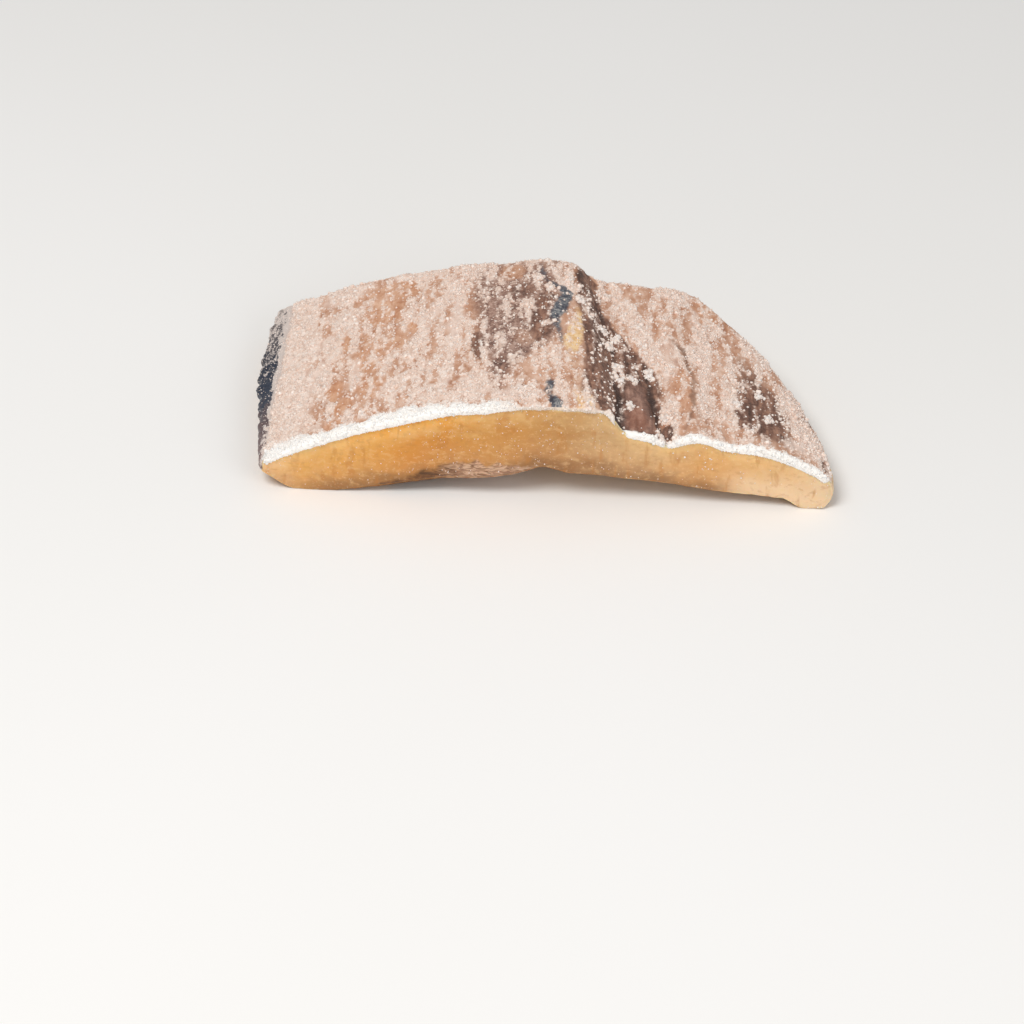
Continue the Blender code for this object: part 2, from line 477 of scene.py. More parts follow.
def faces_up(face):
    """True for a face of the outer side, as against the two cuts, the blunt end and the underside."""
    normal = face.normal
    steepest = 0.51 if face.calc_center_median().x > BLUNT_END else 0.1
    return normal.z > steepest and abs(normal.y) < max(0.3, normal.z)


OUTSIDE, INSIDE, EDGE = 0, 1, 2


def thicken(sheet, thickness_at):
    """Closes a sheet into a slab that reaches inwards, keeping its edges in the plane of the cuts."""
    inward = {}
    for vertex in sheet.verts:
        direction = Vector((vertex.normal.x, 0.0, vertex.normal.z)).normalized()
        inward[tuple(vertex.co)] = -direction
    outer = set(sheet.verts)
    grown = bmesh.ops.extrude_face_region(sheet, geom=sheet.faces[:])
    inner = {part for part in grown["geom"] if isinstance(part, bmesh.types.BMVert)}
    for vertex in inner:
        vertex.co += inward[tuple(vertex.co)] * thickness_at(vertex.co)
    for face in sheet.faces:
        corners = set(face.verts)
        if corners <= outer:
            face.material_index = OUTSIDE
        elif corners <= inner:
            face.material_index = INSIDE
        else:
            face.material_index = EDGE
    bmesh.ops.recalc_face_normals(sheet, faces=sheet.faces[:])


def refine(block, kinds, cuts, rounds):
    """Divides the faces of some kinds further and relaxes their corners."""
    edges = {edge for face in block.faces if face.material_index in kinds for edge in face.edges}
    bmesh.ops.subdivide_edges(block, edges=list(edges), cuts=cuts, use_grid_fill=True)
    corners = set()
    for face in block.faces:
        if face.material_index in kinds:
            corners.update(face.verts)
    corners = list(corners)
    for _ in range(rounds):
        bmesh.ops.smooth_vert(
            block, verts=corners, factor=0.5, use_axis_x=True, use_axis_y=True, use_axis_z=True
        )


def coarsen(block, kind):
    """Makes a hidden side's faces larger."""
    corners = [v for v in block.verts if all(face.material_index == kind for face in v.link_faces)]
    bmesh.ops.unsubdivide(block, verts=corners, iterations=2)


def places_of(mesh):
    """The vertices' places and normals as arrays."""
    count = len(mesh.vertices)
    places = np.zeros(count * 3)
    mesh.vertices.foreach_get("co", places)
    normals = np.zeros(count * 3)
    mesh.vertices.foreach_get("normal", normals)
    return places.reshape(-1, 3), normals.reshape(-1, 3)


def put_places(mesh, places):
    """Moves the mesh's vertices to these places."""
    mesh.vertices.foreach_set("co", places.ravel())
    mesh.update()


def paint(mesh, name, values):
    """Stores one number for each vertex under a name that the materials read."""
    layer = mesh.attributes.new(name, "FLOAT", "POINT")
    layer.data.foreach_set("value", np.asarray(values, np.float32))


def kinds_of_vertices(mesh, kind):
    """1 for each vertex all of whose faces are of this kind, less on the border to others."""
    count = np.zeros(len(mesh.vertices))
    hits = np.zeros(len(mesh.vertices))
    for polygon in mesh.polygons:
        for index in polygon.vertices:
            count[index] += 1.0
            hits[index] += polygon.material_index == kind
    return hits / np.maximum(count, 1.0)


def finish_piece(name, mesh, material, body="root"):
    """Makes the mesh a shown piece that rides on the part."""
    for polygon in mesh.polygons:
        polygon.material_index = 0
    mesh.shade_smooth()
    mesh.materials.clear()
    mesh.materials.append(material)
    piece = bpy.data.objects.new(name, mesh)
    bpy.context.scene.collection.objects.link(piece)
    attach(piece, body)
    return piece


def to_mesh(block, name):
    mesh = bpy.data.meshes.new(name)
    block.to_mesh(mesh)
    block.free()
    mesh.update()
    return mesh


def rim_thickness(place):
    """Thickness of the skin and its salt at a place."""
    x = (place.x - MIDDLE.x) / MM
    y = (place.y - MIDDLE.y) / MM
    wobble = 0.28 * noise.noise(Vector((x / 7.0, y / 30.0, 2.0)))
    wobble += 0.18 * noise.noise(Vector((x / 2.6, y / 30.0, 6.0)))
    return (float(column(RIM, x, 1)) + wobble) * MM


def part_left_of_rim(block, shift, keep_left):
    """Cuts the block along the line where the skin stops and keeps one side of it."""
    across = Vector((LEFT_RIM_BACK - LEFT_RIM_FRONT, BACK_CUT - FRONT_CUT, 0.0))
    bmesh.ops.bisect_plane(
        block,
        geom=block.verts[:] + block.edges[:] + block.faces[:],
        plane_co=(LEFT_RIM_FRONT + shift, FRONT_CUT, 0.0),
        plane_no=(-across.y, across.x, 0.0),
        clear_inner=keep_left,
        clear_outer=not keep_left,
    )
    block.normal_update()


def skin_mesh():
    """The skin with its white rim, as a closed slab."""
    skin = merged_cut()
    part_left_of_rim(skin, 0.0, False)
    keep_faces(skin, faces_up)
    thicken(skin, rim_thickness)
    skin = smoothed(skin, 1)
    refine(skin, (OUTSIDE, EDGE), 3, 3)
    coarsen(skin, INSIDE)
    mesh = to_mesh(skin, "salted_skin")

    places, normals = places_of(mesh)
    outside = kinds_of_vertices(mesh, OUTSIDE)
    inside = kinds_of_vertices(mesh, INSIDE)
    zones = skin_zones(places)
    for name, values in zones.items():
        paint(mesh, name, values)
    beside = ease(5.0 * MM, 3.0 * MM, places[:, 0] - left_rim(places[:, 1]))
    beside *= ease(46.5, 44.0, np.abs(places[:, 1] - MIDDLE.y) / MM)
    paint(mesh, "edge", np.clip(1.0 - outside - inside, 0.0, 1.0) * (1.0 - beside))

    flat = places * np.array((1.0, 1.0, 0.0))
    push = 0.26 * ripples(flat, (8 * MM, 34 * MM, 1), 1.0)
    push += 0.20 * ripples(flat, (3.6 * MM, 8 * MM, 1), 4.0)
    lumps = ripples(places, (1.5 * MM, 1.7 * MM, 1.5 * MM), 7.0)
    push += (0.08 + 0.12 * zones["salt"]) * (1.0 - 0.85 * zones["bare"]) * lumps
    push += 0.30 * zones["crust"] - 0.75 * zones["shaded_furrow"] - 0.15 * zones["dark"]
    push += 0.25 * zones["scar"] + 0.2 * zones["bare"] + 0.2 * zones["bank"]
    push *= MM * (1.0 - inside)
    places += normals * push[:, None]
    down_the_rim = places * np.array((0, 1, 0))
    waver = 0.8 * ripples(down_the_rim, (1, 7 * MM, 1), 33.0)
    waver += 0.6 * ripples(down_the_rim, (1, 2.2 * MM, 1), 35.0)
    waver += 0.3 * ripples(down_the_rim, (1, 1.0 * MM, 1), 36.0)
    places[:, 0] += waver * MM * hump(places[:, 0] - left_rim(places[:, 1]), 2.0 * MM)
    put_places(mesh, places)
    return mesh


def flesh_mesh():
    """The flesh, closed all round and sunk a little behind the skin and its cut edges."""
    flesh = merged_cut()
    for face in flesh.faces:
        up = faces_up(face)
        cut = abs(face.normal.y) > 0.7
        face.material_index = INSIDE if up else (EDGE if cut else OUTSIDE)
    flesh = smoothed(flesh, 2)
    refine(flesh, (EDGE,), 1, 2)
    mesh = to_mesh(flesh, "cut_flesh")

    places, normals = places_of(mesh)
    top = kinds_of_vertices(mesh, INSIDE)
    cut = kinds_of_vertices(mesh, EDGE)
    below = kinds_of_vertices(mesh, OUTSIDE)
    x = (places[:, 0] - MIDDLE.x) / MM
    y = (places[:, 1] - MIDDLE.y) / MM
    z = places[:, 2] / MM

    # Sinks under the skin, and behind the skin's edges at the cuts
    places[:, 2] -= FLESH_SINK * np.clip(normals[:, 2], 0.0, 1.0) * top
    places[:, 0] -= FLESH_SINK * normals[:, 0] * top
    under_lining = ease(0.0, 2.0 * MM, left_rim(places[:, 1]) - places[:, 0])
    under_lining *= ease(-0.35, -0.05, normals[:, 2]) * (1.0 - cut)
    places[:, 0] += 1.2 * MM * under_lining
    toward = ease(0.55, 0.95, np.abs(normals[:, 1]))
    places[:, 1] -= np.sign(y) * CUT_INSET * toward

    # Distances up and down each cut from its lower and upper edge
    lowest = np.zeros(len(x))
    highest = np.zeros(len(x))
    order = np.round(x / 1.5).astype(int)
    for side in (y < 0.0, y >= 0.0):
        for slice_number in np.unique(order):
            here = (order == slice_number) & side & (np.abs(y) > 44.0)
            if here.any():
                lowest[here] = z[here].min()
                highest[here] = z[here].max()
    up_face = z - lowest
    down_face = highest - z
    rise = np.clip(up_face / np.maximum(up_face + down_face, 1.0), 0.0, 1.0)

    height = column(MEMBRANE, x, 1)
    ragged = height * (1.0 + 0.45 * ripples(places, (5 * MM, 9 * MM, 9 * MM), 3.0))
    ragged += 0.9 * ripples(places, (1.8 * MM, 4 * MM, 4 * MM), 4.0) * np.minimum(height, 1.0)
    fade = 1.3 + 0.9 * column(MEMBRANE, x, 2)
    on_cut = cut * np.minimum(height, 1.0) * ease(ragged + fade, ragged - fade, up_face)
    worn = ripples(places, (9 * MM, 16 * MM, 9 * MM), 6.0)
    under = below * ease(-0.25, -0.7, normals[:, 2])
    membrane = np.maximum(on_cut, under * ease(0.5, 4.0, height + 4.0 * worn))

    push = 0.30 * ripples(places, (16 * MM, 14 * MM, 13 * MM), 2.0) * (cut + 0.4 * below)
    push += 0.10 * cut * ripples(places, (3.4 * MM, 9 * MM, 2.6 * MM), 5.0)
    push += 0.05 * cut * ripples(places, (1.1 * MM, 1.1 * MM, 1.1 * MM), 9.0)
    layers = ripples(places, (5 * MM, 3 * MM, 1.5 * MM), 12.0)
    push += on_cut * (0.12 + 0.25 * layers)
    flakes = np.abs(x) / 6.5 + y / 7.5 + 0.9 * ripples(places, (9 * MM, 9 * MM, 9 * MM), 15.0)
    lamella = np.abs(((flakes % 1.0) - 0.5) * 2.0)
    split = under * ease(0.75, 1.0, lamella) * ease(47.5, 44.0, np.abs(y)) * (1.0 - 0.7 * membrane)
    push -= 0.45 * split
    push += 0.18 * below * ripples(places, (2.4 * MM, 2.4 * MM, 2.4 * MM), 17.0)
    put_places(mesh, places + normals * (push * MM * (1.0 - top))[:, None])

    paint(mesh, "membrane", membrane)
    # How much of the membrane is coloured as the dark painted shadow at the foot of the cuts
    paint(mesh, "shadow_brown", column(MEMBRANE, x, 2))
    paint(mesh, "below", below * ease(48.0, 44.5, np.abs(y)))
    paint(mesh, "flake", under * ease(0.6, 1.0, lamella) * (1.0 - 0.7 * membrane))
    paint(mesh, "cut", cut)
    paint(mesh, "rise", np.clip(rise * cut + top, 0.0, 1.0))
    paint(mesh, "down", np.clip(down_face / 10.0, 0.0, 1.0) * cut)
    return mesh


def lining_mesh():
    """The torn strip of dark lining on the left, as a thin closed slab."""
    lining = merged_cut()
    part_left_of_rim(lining, 1.2 * MM, True)
    keep_faces(lining, lambda face: face.normal.z > -0.2 and abs(face.normal.y) < 0.6)
    thicken(lining, lambda place: 0.9 * MM)
    lining = smoothed(lining, 1)
    refine(lining, (OUTSIDE, EDGE), 4, 3)
    mesh = to_mesh(lining, "dark_lining")

    places, normals = places_of(mesh)
    inside = kinds_of_vertices(mesh, INSIDE)
    rim = left_rim(places[:, 1])
    slices = np.round(places[:, 1] / MM).astype(int)
    outer = np.zeros(len(places))
    for number in np.unique(slices):
        here = slices == number
        outer[here] = places[here, 0].min()
    width = np.maximum(rim - outer, 0.5 * MM)
    outward = ease(0.1, 0.9, (rim - places[:, 0]) / width)
    lift = LINING_LIFT * ease(rim - 0.4 * MM, rim - 2.0 * MM, places[:, 0])
    lift -= 0.6 * MM * ease(rim - 1.2 * MM, rim + 0.4 * MM, places[:, 0])
    lift += 0.22 * MM * ripples(places, (2.6 * MM, 3.6 * MM, 2 * MM), 21.0)
    lift += 0.20 * MM * ripples(places, (0.9 * MM, 1.1 * MM, 1 * MM), 23.0)
    places += normals * (lift * (1.0 - inside))[:, None]

    down_the_edge = places * np.array((0, 1, 0))
    torn = 0.9 * ripples(down_the_edge, (1, 5.5 * MM, 1), 25.0)
    torn += 0.9 * ripples(down_the_edge, (1, 1.9 * MM, 1), 27.0)
    torn += 0.7 * ripples(down_the_edge, (1, 0.9 * MM, 1), 28.0)
    torn = np.clip(1.3 * torn, -1.7, 0.25)
    places[:, 0] += torn * MM * outward * np.clip(width / (4.0 * MM), 0.25, 1.0)
    places[:, 2] += 0.35 * MM * outward * ripples(down_the_edge, (1, 3.2 * MM, 1), 29.0)
    put_places(mesh, places)
    from_rim = (rim - places[:, 0]) / MM
    paint(mesh, "seam", ease(3.0, 0.3, from_rim + 1.5 * ripples(places, (2 * MM, 2.4 * MM, 2 * MM), 30.0)))
    return mesh


# Materials


def screen(red, green, blue):
    """A colour given as it looks on a screen, from 0 to 255, as the shaders want it."""
    shares = [value / 255.0 for value in (red, green, blue)]
    linear = [s / 12.92 if s <= 0.04045 else ((s + 0.055) / 1.055) ** 2.4 for s in shares]
    return (*linear, 1.0)


class Finish:
    """A material and short ways to add nodes to it."""

    def __init__(self, name):
        self.material = bpy.data.materials.new(name)
        self.material.use_nodes = True
        self.tree = self.material.node_tree
        self.shader = self.tree.nodes["Principled BSDF"]
        self.coordinates = self.tree.nodes.new("ShaderNodeTexCoord").outputs["Object"]

    def feed(self, socket, value):
        if isinstance(value, bpy.types.NodeSocket):
            self.tree.links.new(value, socket)
        else:
            socket.default_value = value

    def stretch(self, sizes, turn=(0.0, 0.0, 0.0)):
        """Object coordinates measured in these sizes."""
        node = self.tree.nodes.new("ShaderNodeMapping")
        self.tree.links.new(self.coordinates, node.inputs["Vector"])
        node.inputs["Rotation"].default_value = turn
        node.inputs["Scale"].default_value = [1.0 / size for size in sizes]
        return node.outputs["Vector"]

    def mottle(self, sizes, detail=3.0, roughness=0.55, distortion=0.0, turn=(0.0, 0.0, 0.0)):
        """Cloudy noise around 0.5 with lumps of these sizes."""
        node = self.tree.nodes.new("ShaderNodeTexNoise")
        self.tree.links.new(self.stretch(sizes, turn), node.inputs["Vector"])
        node.inputs["Scale"].default_value = 1.0
        node.inputs["Detail"].default_value = detail
        node.inputs["Roughness"].default_value = roughness
        node.inputs["Distortion"].default_value = distortion
        return node.outputs["Fac"]

    def cells(self, size, output="Distance", randomness=1.0):
        """Scattered cells of about this size."""
        node = self.tree.nodes.new("ShaderNodeTexVoronoi")
        self.tree.links.new(self.stretch((size, size, size)), node.inputs["Vector"])
        node.inputs["Scale"].default_value = 1.0
        node.inputs["Randomness"].default_value = randomness
        return node.outputs[output]

    def painted(self, name, strength=None):
        """A number stored in the mesh, times the strength if there is one."""
        node = self.tree.nodes.new("ShaderNodeAttribute")
        node.attribute_name = name
        if strength is None:
            return node.outputs["Fac"]
        return self.sums("MULTIPLY", node.outputs["Fac"], strength)

    def part(self, vector, axis):
        """One axis of a vector or colour."""
        node = self.tree.nodes.new("ShaderNodeSeparateXYZ")
        self.tree.links.new(vector, node.inputs[0])
        return node.outputs[axis]

    def sums(self, operation, *numbers):
        """Arithmetic on two or three numbers."""
        node = self.tree.nodes.new("ShaderNodeMath")
        node.operation = operation
        for socket, number in zip(node.inputs, numbers):
            self.feed(socket, number)
        return node.outputs[0]

    def between(self, value, start, end, low=0.0, high=1.0):
        """Value brought smoothly from start..end to low..high."""
        node = self.tree.nodes.new("ShaderNodeMapRange")
        node.interpolation_type = "SMOOTHSTEP"
        self.feed(node.inputs["Value"], value)
        self.feed(node.inputs["From Min"], start)
        self.feed(node.inputs["From Max"], end)
        node.inputs["To Min"].default_value = low
        node.inputs["To Max"].default_value = high
        return node.outputs["Result"]

    def share_of(self, value, start, end):
        """How far value lies from start to end, from 0 to 1."""
        node = self.tree.nodes.new("ShaderNodeMapRange")
        self.feed(node.inputs["Value"], value)
        node.inputs["From Min"].default_value = start
        node.inputs["From Max"].default_value = end
        return node.outputs["Result"]

    def blend(self, share, first, second):
        """The first colour with this share of the second."""
        node = self.tree.nodes.new("ShaderNodeMix")
        node.data_type = "RGBA"
        self.feed(node.inputs[0], share)
        self.feed(node.inputs[6], first)
        self.feed(node.inputs[7], second)
        return node.outputs[2]

    def shades(self, value, *stops):
        """A run of colours. Each stop is a place from 0 to 1 and a screen colour."""
        node = self.tree.nodes.new("ShaderNodeValToRGB")
        self.feed(node.inputs["Fac"], value)
        elements = node.color_ramp.elements
        while len(elements) < len(stops):
            elements.new(0.5)
        for element, (place, colour) in zip(elements, stops):
            element.position = place
            element.color = screen(*colour)
        return node.outputs["Color"]

    def relief(self, height, distance, strength=1.0, under=None):
        """A fine unevenness of the surface."""
        node = self.tree.nodes.new("ShaderNodeBump")
        node.inputs["Strength"].default_value = strength
        node.inputs["Distance"].default_value = distance
        self.feed(node.inputs["Height"], height)
        if under is not None:
            self.feed(node.inputs["Normal"], under)
        return node.outputs["Normal"]

    def wear(self, **values):
        """Sets the shader's sockets, with _ for spaces."""
        for name, value in values.items():
            self.feed(self.shader.inputs[name.replace("_", " ")], value)
        return self.material


def skin_finish():
    """Pinkish, mottled skin under a crust of salt."""
    skin = Finish("salted_skin")
    lean = (0.0, 0.0, 0.14)
    broad = skin.mottle((8 * MM, 22 * MM, 20 * MM), 3.0, 0.6, 0.3, lean)
    streaks = skin.mottle((2.4 * MM, 14 * MM, 12 * MM), 3.0, 0.6, 0.5, lean)
    medium = skin.mottle((2.4 * MM, 3.6 * MM, 3 * MM), 4.0, 0.65, 0.4, lean)
    fine = skin.mottle((0.9 * MM, 0.9 * MM, 0.9 * MM), 3.0, 0.6)
    clouds = skin.sums("MULTIPLY", broad, 0.35)
    clouds = skin.sums("MULTIPLY_ADD", streaks, 0.25, clouds)
    clouds = skin.sums("MULTIPLY_ADD", medium, 0.40, clouds)
    tone = skin.shades(
        clouds,
        (0.36, (166, 114, 88)),
        (0.45, (193, 144, 116)),
        (0.54, (212, 170, 145)),
        (0.65, (232, 200, 180)),
    )
    tan = skin.shades(medium, (0.38, (196, 132, 92)), (0.62, (222, 172, 136)))
    tone = skin.blend(skin.painted("tan", 0.75), tone, tan)
    tone = skin.blend(skin.painted("pale", 0.75), tone, screen(248, 231, 221))

    mixed = skin.sums("MULTIPLY_ADD", medium, 0.6, skin.sums("MULTIPLY", fine, 0.4))
    grey = skin.shades(mixed, (0.38, (96, 72, 66)), (0.48, (140, 108, 96)), (0.6, (182, 150, 136)))
    not_tan = skin.sums("MULTIPLY_ADD", skin.painted("tan"), -0.75, 0.92)
    tone = skin.blend(skin.sums("MULTIPLY", skin.painted("grey"), not_tan), tone, grey)
    shadow = skin.sums("ADD", skin.sums("MULTIPLY", medium, 0.5), skin.sums("MULTIPLY", streaks, 0.5))
    dark = skin.shades(shadow, (0.38, (68, 46, 39)), (0.5, (118, 82, 67)), (0.62, (166, 123, 101)))
    reach = skin.sums("MULTIPLY_ADD", medium, 0.7, skin.painted("dark"))
    tone = skin.blend(skin.between(reach, 0.45, 1.1, 0.0, 0.95), tone, dark)
    blue = skin.shades(mixed, (0.38, (28, 38, 54)), (0.5, (72, 82, 94)), (0.62, (148, 150, 150)))
    reach = skin.sums("MULTIPLY_ADD", mixed, 1.3, skin.painted("blue"))
    tone = skin.blend(skin.between(reach, 0.85, 1.5, 0.0, 0.95), tone, blue)
    scar = skin.shades(mixed, (0.38, (220, 174, 118)), (0.5, (240, 200, 145)), (0.62, (250, 226, 188)))
    reach = skin.sums("MULTIPLY_ADD", mixed, 1.0, skin.painted("scar"))
    tone = skin.blend(skin.between(reach, 0.6, 1.35, 0.0, 0.92), tone, scar)
    bare = skin.shades(shadow, (0.38, (104, 74, 62)), (0.5, (140, 103, 88)), (0.62, (182, 142, 124)))
    bare = skin.blend(skin.painted("glow", 0.5), bare, screen(168, 106, 78))
    tone = skin.blend(skin.painted("bare", 0.95), tone, bare)
    # Painted shade, nearly black, inside the furrows and the step
    tone = skin.blend(skin.painted("shaded_furrow", 0.9), tone, screen(58, 42, 38))

    # Salt that has dried into a crust, broken up finely
    crust = skin.sums("MULTIPLY_ADD", fine, 0.9, skin.painted("crust"))
    crust = skin.between(crust, 0.45, 1.3, 0.0, 0.88)
    frost = skin.shades(medium, (0.36, (222, 193, 176)), (0.5, (238, 214, 199)), (0.64, (250, 235, 225)))
    tone = skin.blend(crust, tone, frost)

    # The rim's salt is white, brightened to near-pure white as a painted highlight
    rim = skin.shades(fine, (0.3, (253, 246, 239)), (0.6, (255, 253, 250)))
    dull = skin.shades(mixed, (0.38, (168, 132, 104)), (0.5, (212, 178, 146)), (0.62, (236, 212, 186)))
    rim = skin.blend(skin.painted("white"), dull, rim)
    banked = skin.sums("MULTIPLY_ADD", fine, 0.5, skin.painted("bank"))
    banked = skin.sums("MULTIPLY", skin.between(banked, 0.35, 1.0), skin.painted("white"))
    tone = skin.blend(banked, tone, rim)
    tone = skin.blend(skin.between(skin.painted("edge"), 0.05, 0.6), tone, rim)

    roughness = skin.between(skin.painted("bare"), 0.2, 1.0, 0.62, 0.4)
    return skin.wear(
        Base_Color=tone,
        Roughness=roughness,
        Specular_IOR_Level=0.45,
        Normal=skin.relief(fine, 0.24 * MM, 0.55),
    )


def flesh_finish():
    """Waxy dried flesh, deep yellow on the left and paler to the right."""
    flesh = Finish("cut_flesh")
    across = flesh.part(flesh.coordinates, 0)
    half = 0.5 * (cad_high.x - cad_low.x)
    share = flesh.share_of(across, MIDDLE.x - half, MIDDLE.x + half)
    cloud = flesh.mottle((10 * MM, 10 * MM, 6 * MM), 3.0, 0.55, 0.4)
    patch = flesh.mottle((3.4 * MM, 3.4 * MM, 2.2 * MM), 3.0, 0.6, 0.2)
    fine = flesh.mottle((1.0 * MM, 1.0 * MM, 1.0 * MM), 3.0, 0.6)
    shifted = flesh.sums("MULTIPLY_ADD", flesh.sums("SUBTRACT", cloud, 0.5), 0.14, share)
    tone = flesh.shades(
        shifted,
        (0.02, (243, 198, 142)),
        (0.11, (231, 173, 94)),
        (0.22, (226, 163, 80)),
        (0.30, (216, 143, 54)),
        (0.37, (213, 150, 70)),
        (0.46, (206, 148, 79)),
        (0.53, (196, 144, 84)),
        (0.60, (208, 167, 117)),
        (0.69, (223, 181, 129)),
        (0.78, (224, 168, 102)),
        (0.88, (233, 186, 128)),
        (0.97, (236, 204, 164)),
    )
    rise = flesh.sums("MULTIPLY_ADD", flesh.sums("SUBTRACT", cloud, 0.5), 0.5, flesh.painted("rise"))
    # Painted shade at the foot of the cuts: they darken towards the bottom, except near the ends
    foot = flesh.between(share, 0.86, 0.78)
    lower = flesh.sums("MULTIPLY", flesh.between(rise, 0.62, 0.2, 0.0, 0.4), foot)
    tone = flesh.blend(lower, tone, screen(204, 150, 104))
    lowest = flesh.sums("MULTIPLY", flesh.between(rise, 0.38, 0.0, 0.0, 0.75), foot)
    lowest = flesh.sums("MULTIPLY", lowest, flesh.between(share, 0.03, 0.16))
    tone = flesh.blend(lowest, tone, screen(140, 96, 58))
    cream = flesh.sums("MULTIPLY", flesh.between(rise, 0.6, 0.15, 0.0, 0.8), flesh.between(share, 0.78, 0.86))
    tone = flesh.blend(cream, tone, screen(246, 214, 176))
    # Painted light: the top of each cut is lighter where it tilts up towards the light, less in the middle
    upper = flesh.sums("MULTIPLY", flesh.between(rise, 0.58, 0.98, 0.0, 0.6), flesh.painted("cut"))
    beside = flesh.sums("MAXIMUM", flesh.between(share, 0.52, 0.42), flesh.between(share, 0.58, 0.68))
    upper = flesh.sums("MULTIPLY", upper, flesh.sums("MULTIPLY_ADD", beside, 0.8, 0.2))
    tone = flesh.blend(upper, tone, screen(255, 217, 150))
    # Painted glow, deep orange, of light through the flesh under the rim on the left
    deep = flesh.sums("MULTIPLY", flesh.between(share, 0.1, 0.26), flesh.between(share, 0.42, 0.3))
    under_rim = flesh.sums("MULTIPLY_ADD", cloud, 0.5, flesh.painted("down"))
    deep = flesh.sums("MULTIPLY", deep, flesh.between(under_rim, 1.15, 0.45))
    tone = flesh.blend(flesh.sums("MULTIPLY", deep, flesh.painted("cut", 0.9)), tone, screen(248, 172, 52))
    # Darker amber columns where the flesh is drier
    dry = flesh.mottle((4 * MM, 9 * MM, 13 * MM), 3.0, 0.55, 0.5)
    tone = flesh.blend(flesh.between(dry, 0.54, 0.68, 0.0, 0.45), tone, screen(196, 128, 54))
    tone = flesh.blend(flesh.between(patch, 0.52, 0.68, 0.0, 0.30), tone, screen(240, 200, 146))
    tone = flesh.blend(flesh.between(patch, 0.47, 0.32, 0.0, 0.28), tone, screen(186, 128, 70))
    tone = flesh.blend(flesh.between(fine, 0.56, 0.74, 0.0, 0.35), tone, screen(248, 218, 172))
    # A pale line along the top of each cut, just under the skin
    seam = flesh.sums("MULTIPLY_ADD", cloud, -0.2, flesh.painted("down"))
    seam = flesh.sums("MULTIPLY", flesh.between(seam, 0.17, 0.03), flesh.painted("cut", 0.9))
    tone = flesh.blend(seam, tone, screen(253, 230, 178))

    # The membrane: a pink film, and on the left a dark painted shadow at the foot of the cuts
    lines = flesh.mottle((4.5 * MM, 4 * MM, 1.3 * MM), 3.0, 0.6, 1.6)
    pink = flesh.shades(lines, (0.36, (128, 92, 70)), (0.48, (174, 134, 108)), (0.58, (216, 180, 152)))
    shadow_film = flesh.shades(lines, (0.36, (64, 38, 18)), (0.5, (104, 64, 30)), (0.62, (152, 102, 52)))
    film = flesh.blend(flesh.painted("shadow_brown"), pink, shadow_film)
    under = flesh.shades(cloud, (0.35, (198, 150, 98)), (0.65, (230, 196, 150)))
    under = flesh.blend(flesh.painted("flake", 0.6), under, screen(176, 124, 78))
    tone = flesh.blend(flesh.between(flesh.painted("below"), 0.7, 1.0), tone, under)
    tone = flesh.blend(flesh.between(flesh.painted("membrane"), 0.05, 0.95, 0.0, 0.88), tone, film)
    height = flesh.sums("MULTIPLY_ADD", patch, 0.8, fine)
    return flesh.wear(
        Base_Color=tone,
        Roughness=0.44,
        Specular_IOR_Level=0.4,
        Subsurface_Weight=0.35,
        Subsurface_Radius=(1.0, 0.5, 0.22),
        Subsurface_Scale=2.2 * MM,
        Normal=flesh.relief(height, 0.18 * MM, 0.6),
    )


def lining_finish():
    """Leathery lining, blue-black in the middle and dusted grey towards its ends."""
    lining = Finish("dark_lining")
    along = lining.part(lining.coordinates, 1)
    share = lining.share_of(along, FRONT_CUT, BACK_CUT)
    cloud = lining.mottle((1.8 * MM, 3.4 * MM, 3 * MM), 4.0, 0.65, 0.4)
    fine = lining.mottle((0.7 * MM, 1.0 * MM, 0.7 * MM), 3.0, 0.6)
    shifted = lining.sums("MULTIPLY_ADD", lining.sums("SUBTRACT", cloud, 0.5), 0.4, share)
    tone = lining.shades(
        shifted,
        (0.0, (132, 108, 104)),
        (0.24, (104, 86, 86)),
        (0.4, (50, 58, 74)),
        (0.58, (38, 44, 60)),
        (0.72, (78, 74, 78)),
        (0.88, (116, 106, 104)),
        (1.0, (104, 94, 88)),
    )
    tone = lining.blend(lining.between(fine, 0.47, 0.32, 0.0, 0.6), tone, screen(30, 30, 38))
    dust = lining.sums("MULTIPLY_ADD", share, 0.42, cloud)
    dust = lining.sums("MULTIPLY_ADD", fine, 0.5, dust)
    dust = lining.sums("MULTIPLY_ADD", lining.painted("seam"), 0.45, dust)
    tone = lining.blend(lining.between(dust, 1.02, 1.18, 0.0, 0.85), tone, screen(226, 212, 204))
    return lining.wear(
        Base_Color=tone,
        Roughness=0.42,
        Specular_IOR_Level=0.5,
        Normal=lining.relief(fine, 0.25 * MM, 0.8),
    )


def salt_finish():
    """Dull white crystals that let a little light through."""
    salt = Finish("salt")
    fine = salt.mottle((1.5 * MM, 1.5 * MM, 1.5 * MM), 2.0, 0.5)
    tone = salt.shades(fine, (0.32, (226, 199, 184)), (0.5, (241, 219, 206)), (0.66, (252, 238, 229)))
    # Grains on the rim are white salt, brightened to near-pure white as a painted highlight
    white = salt.shades(fine, (0.32, (250, 243, 236)), (0.6, (255, 253, 250)))
    tone = salt.blend(salt.painted("tint"), tone, white)
    return salt.wear(
        Base_Color=tone,
        Roughness=0.4,
        Specular_IOR_Level=0.45,
        Subsurface_Weight=0.3,
        Subsurface_Radius=(1.0, 0.9, 0.8),
        Subsurface_Scale=0.6 * MM,
    )


# Loose salt

GRAIN_LIFT = 0.04  # how far a grain's middle stands off what it lies on, as a share of its size


def cube_grain():
    grain = bmesh.new()
    bmesh.ops.create_cube(grain, size=1.0)
    for vertex, out in zip(grain.verts, (1.0, 0.86, 1.1, 0.94, 1.04, 0.9, 1.12, 0.98)):
        vertex.co *= out
    return grain


